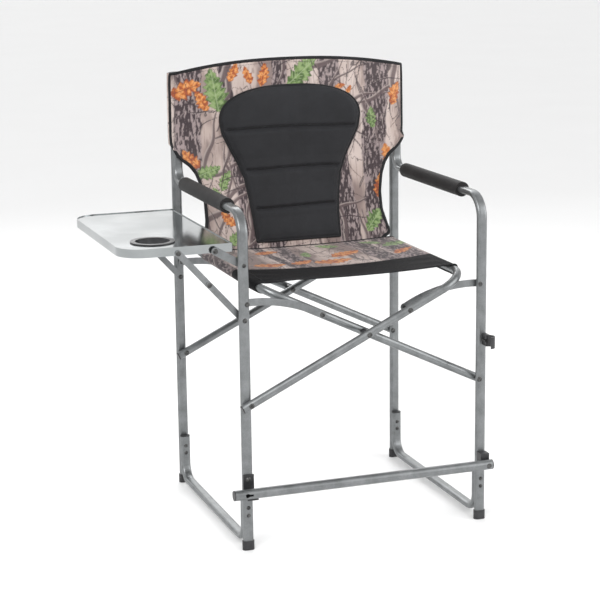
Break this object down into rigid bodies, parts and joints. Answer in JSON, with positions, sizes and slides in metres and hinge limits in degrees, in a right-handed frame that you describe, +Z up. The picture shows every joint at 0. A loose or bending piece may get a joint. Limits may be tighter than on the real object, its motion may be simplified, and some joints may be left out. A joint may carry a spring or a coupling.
{
  "type": "director chair",
  "caption": "Tall folding director's chair with sling seat and padded back, foam arms, swing-up footrest bar and a drop-leaf side tray with a cup holder.",
  "frame": {"origin": "on the floor, under the middle of the whole footprint, tray and footrest included", "axes": "+X towards the viewer's right (the tray is on the -X side), -Y the front of the seat, +Z up"},
  "size_m": [0.8914, 0.6346, 1.1],
  "materials": {
    "frame_steel": "silver-grey metallic powder coat",
    "rivet_steel": "zinc-plated steel",
    "tray_metal": "polished sheet",
    "black_plastic": "moulded, satin",
    "foam": "closed-cell foam sleeve",
    "camo_fabric": "printed woven polyester, leaf and bark camouflage",
    "black_fabric": "woven polyester, quilted"
  },
  "bodies": {
    "left_frame": {"left_front_tube": "frame_steel", "left_rear_post": "frame_steel", "left_skid": "frame_steel", "left_foot_caps": "black_plastic", "left_skid_plugs": "black_plastic", "left_skid_rivets": "rivet_steel", "left_arm_foam": "foam", "left_arm_rivet": "rivet_steel", "left_post_cap": "black_plastic", "left_pivot_rivets": "rivet_steel", "left_link_pins": "rivet_steel", "tray_brackets": "frame_steel", "bracket_rivets": "rivet_steel", "tray_hinge_pins": "rivet_steel", "stay_leg_pins": "rivet_steel", "stay_spacers": "rivet_steel", "footrest_saddle": "black_plastic", "saddle_bolt": "rivet_steel", "back_panel": "camo_fabric", "back_pad": "black_fabric"},
    "right_frame": {"right_front_tube": "frame_steel", "right_rear_post": "frame_steel", "right_skid": "frame_steel", "right_foot_caps": "black_plastic", "right_skid_plugs": "black_plastic", "right_skid_rivets": "rivet_steel", "right_arm_foam": "foam", "right_arm_rivet": "rivet_steel", "right_post_cap": "black_plastic", "right_pivot_rivets": "rivet_steel", "right_link_pins": "rivet_steel", "footrest_bracket": "black_plastic", "footrest_bolt": "rivet_steel", "storage_clip": "black_plastic", "clip_screw": "rivet_steel"},
    "scissor_a": {"scissor_a_tube": "frame_steel", "scissor_a_plugs": "black_plastic", "scissor_a_pins": "rivet_steel", "crossing_rivets": "rivet_steel", "crossing_spacers": "black_plastic", "seat_panel": "camo_fabric"},
    "scissor_b": {"scissor_b_tube": "frame_steel", "scissor_b_plugs": "black_plastic", "scissor_b_pins": "rivet_steel"},
    "left_link": {"left_links": "frame_steel", "left_link_rivets": "rivet_steel"},
    "right_link": {"right_links": "frame_steel", "right_link_rivets": "rivet_steel"},
    "footrest": {"footrest_bar": "frame_steel", "footrest_plugs": "black_plastic"},
    "tray": {"tray_pan": "tray_metal", "cup_ring": "black_plastic", "stay_tray_pins": "rivet_steel"},
    "lower_stay": {"tray_lower_stays": "frame_steel", "stay_knee_rivets": "rivet_steel"},
    "upper_stay": {"tray_upper_stays": "frame_steel"}
  },
  "joints": [
    {"name": "fold", "type": "hinge", "parent": "left_frame", "child": "scissor_a", "pos_m": [-0.16375, 0.0142, 0.355], "axis": [0, -1, 0], "range_deg": [0, 46], "deforming": ["seat_panel", "back_panel", "back_pad"]},
    {"name": "crossing", "type": "hinge", "parent": "scissor_a", "child": "scissor_b", "pos_m": [0.12775, 0.0142, 0.49604], "axis": [0, -1, 0], "range_deg": [-92.1, 0.1]},
    {"name": "right_leg_pivot", "type": "hinge", "parent": "scissor_b", "child": "right_frame", "pos_m": [0.41925, 0.0142, 0.355], "axis": [0, -1, 0], "range_deg": [-0.1, 46.1]},
    {"name": "left_link_pivot", "type": "hinge", "parent": "left_frame", "child": "left_link", "pos_m": [-0.16375, 0.0142, 0.5893], "axis": [0, -1, 0], "range_deg": [-0.1, 83.33]},
    {"name": "right_link_pivot", "type": "hinge", "parent": "right_frame", "child": "right_link", "pos_m": [0.41925, 0.0142, 0.5893], "axis": [0, -1, 0], "range_deg": [-83.33, 0.1]},
    {"name": "footrest_swing", "type": "hinge", "parent": "right_frame", "child": "footrest", "pos_m": [0.42525, -0.3018, 0.15], "axis": [0, 1, 0], "range_deg": [0, 90]},
    {"name": "tray_fold", "type": "hinge", "parent": "left_frame", "child": "tray", "pos_m": [-0.23175, 0.0142, 0.715], "axis": [0, -1, 0], "range_deg": [0, 90]},
    {"name": "lower_stay_pivot", "type": "hinge", "parent": "left_frame", "child": "lower_stay", "pos_m": [-0.16975, 0.0142, 0.552], "axis": [0, -1, 0], "range_deg": [-62.15, 0.1]},
    {"name": "upper_stay_pivot", "type": "hinge", "parent": "tray", "child": "upper_stay", "pos_m": [-0.31575, 0.0142, 0.715], "axis": [0, -1, 0], "range_deg": [-26.61, 0.1]}
  ],
  "couplings": [
    {"joint": "crossing", "follows": "fold", "ratio": -2},
    {"joint": "right_leg_pivot", "follows": "fold", "ratio": 1},
    {"joint": "left_link_pivot", "follows": "fold", "ratio": 1.8094},
    {"joint": "right_link_pivot", "follows": "fold", "ratio": -1.8094},
    {"joint": "lower_stay_pivot", "follows": "tray_fold", "ratio": -0.68947},
    {"joint": "upper_stay_pivot", "follows": "tray_fold", "ratio": -0.29455}
  ]
}
